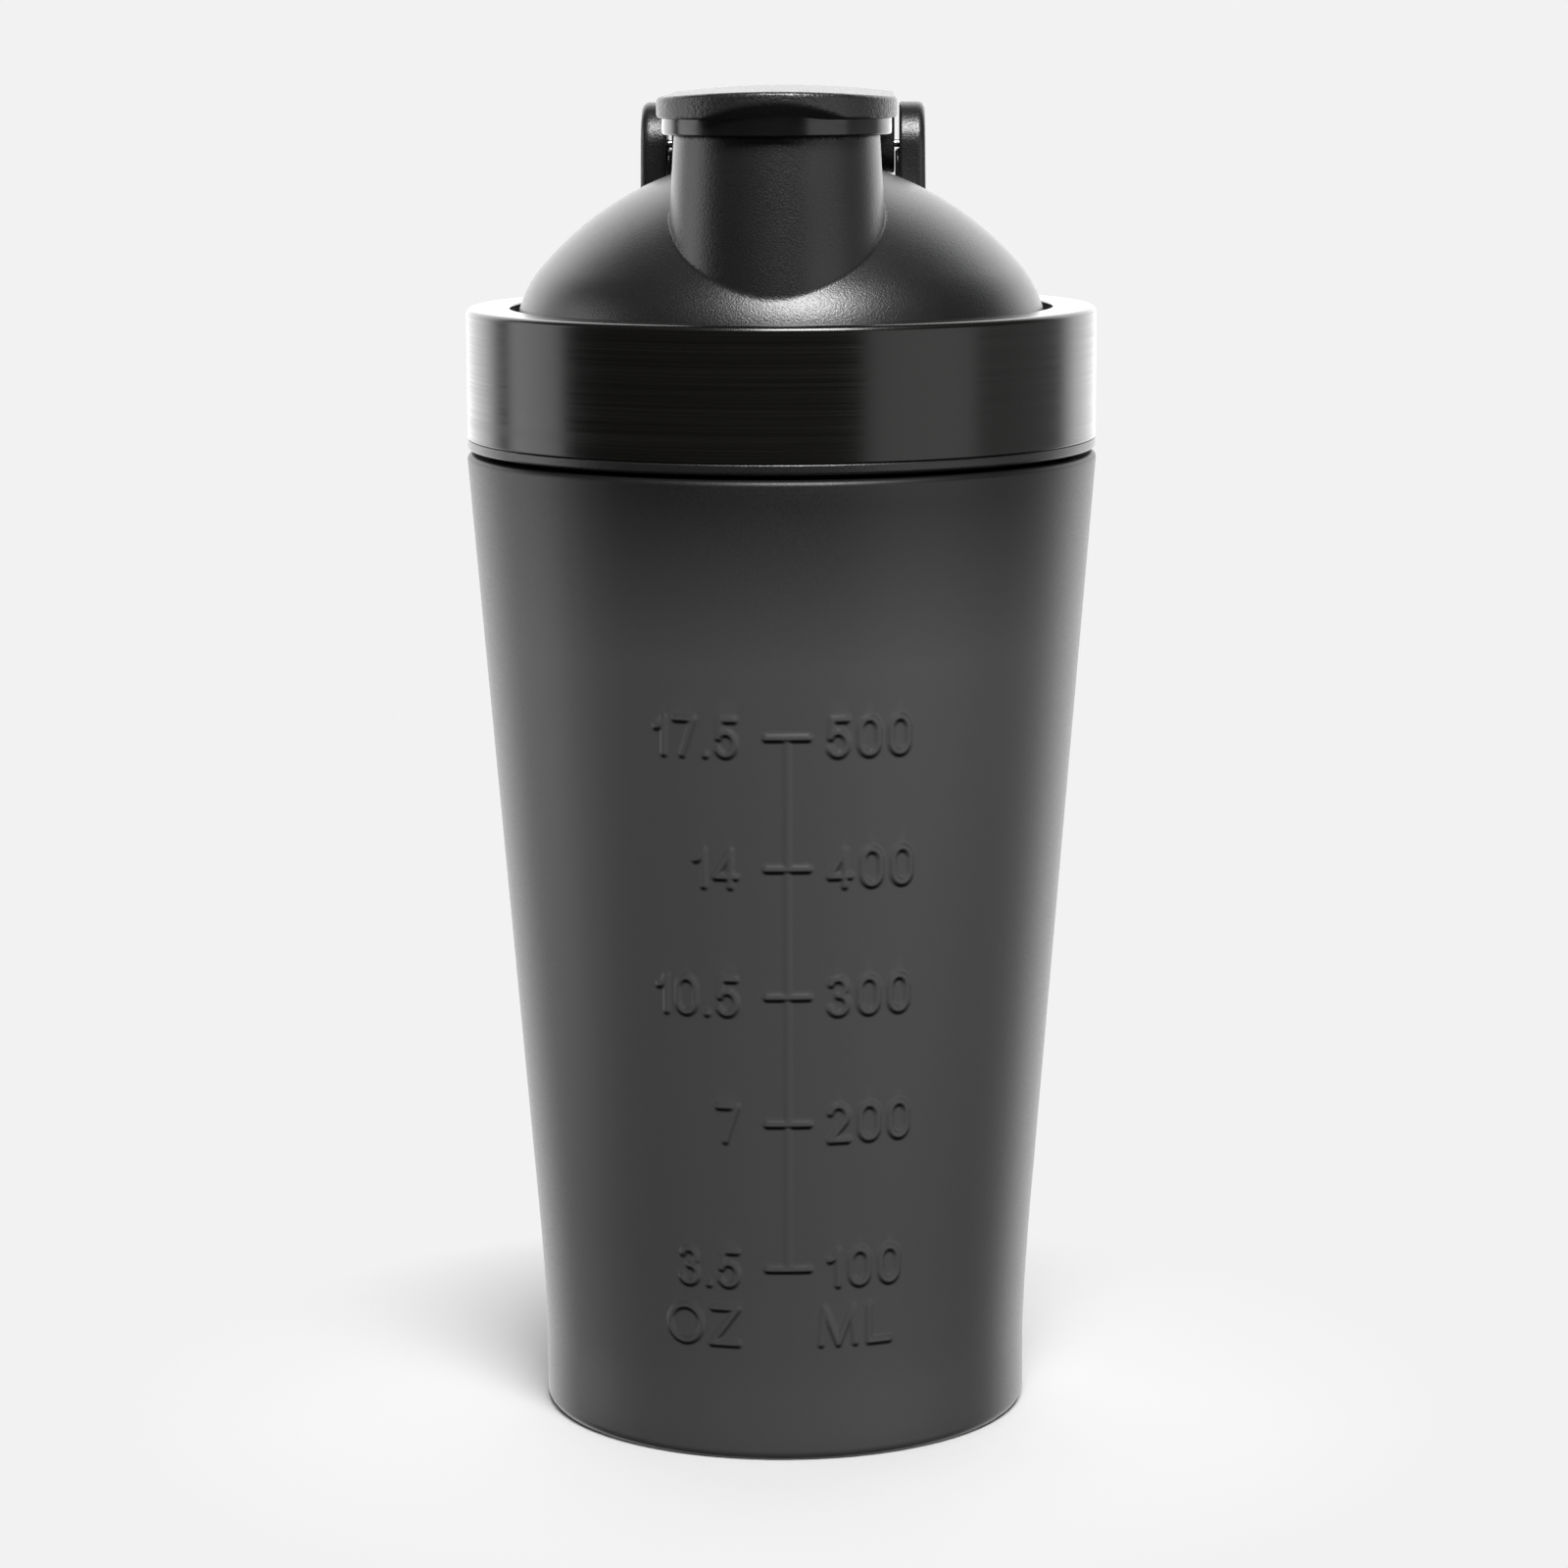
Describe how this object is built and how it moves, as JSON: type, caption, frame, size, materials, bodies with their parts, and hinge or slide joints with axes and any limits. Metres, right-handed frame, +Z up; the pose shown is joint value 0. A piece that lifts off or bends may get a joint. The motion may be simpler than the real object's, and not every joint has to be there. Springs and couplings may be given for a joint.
{
  "type": "protein shaker bottle",
  "caption": "Tapered steel shaker cup with raised volume scale, screw-on domed lid with steel ring, drinking spout and hinged flip cap with seal; mixing grid and whisk ball inside.",
  "frame": {"origin": "centre of the base, on the surface that the bottle stands on", "axes": "+Z up along the bottle's axis, -Y towards the spout"},
  "size_m": [0.0934, 0.0934, 0.1984],
  "materials": {
    "coated_steel": "satin black powder coat",
    "wire_steel": "polished wire",
    "lid_plastic": "fine-textured matte black",
    "ring_steel": "gloss black over lathe-brushed steel",
    "pin_steel": "bright",
    "gasket_silicone": "matte",
    "grid_plastic": "satin black",
    "cap_plastic": "grained matte black",
    "seal_rubber": "gloss"
  },
  "bodies": {
    "cup": {"cup_body": "coated_steel"},
    "gasket": {"lid_gasket": "gasket_silicone"},
    "lid": {"lid_shell": "lid_plastic", "lid_ring": "ring_steel", "hinge_pin": "pin_steel"},
    "cap": {"flip_cap": "cap_plastic", "spout_seal": "seal_rubber"},
    "grid": {"mixing_grid": "grid_plastic"},
    "ball": {"whisk_ball": "wire_steel"}
  },
  "joints": [
    {"name": "lid_rise", "type": "slide", "parent": "cup", "child": "gasket", "axis": [0, 0, 1], "range_m": [0, 0.0161]},
    {"name": "lid_turn", "type": "hinge", "parent": "gasket", "child": "lid", "pos_m": [0, 0, 0.155], "axis": [0, 0, 1], "range_deg": [0, 1440]},
    {"name": "cap_flip", "type": "hinge", "parent": "lid", "child": "cap", "pos_m": [0, 0.02, 0.1896], "axis": [-1, 0, 0], "range_deg": [0, 115]},
    {"name": "grid_pull", "type": "slide", "parent": "lid", "child": "grid", "axis": [0, 0, -1], "range_m": [0, 0.03]},
    {"name": "ball_hop", "type": "slide", "parent": "cup", "child": "ball", "axis": [0, 0, 1], "range_m": [0, 0.07]}
  ],
  "couplings": [
    {"joint": "lid_rise", "follows": "lid_turn", "m_per_rad": 0.00063662}
  ]
}
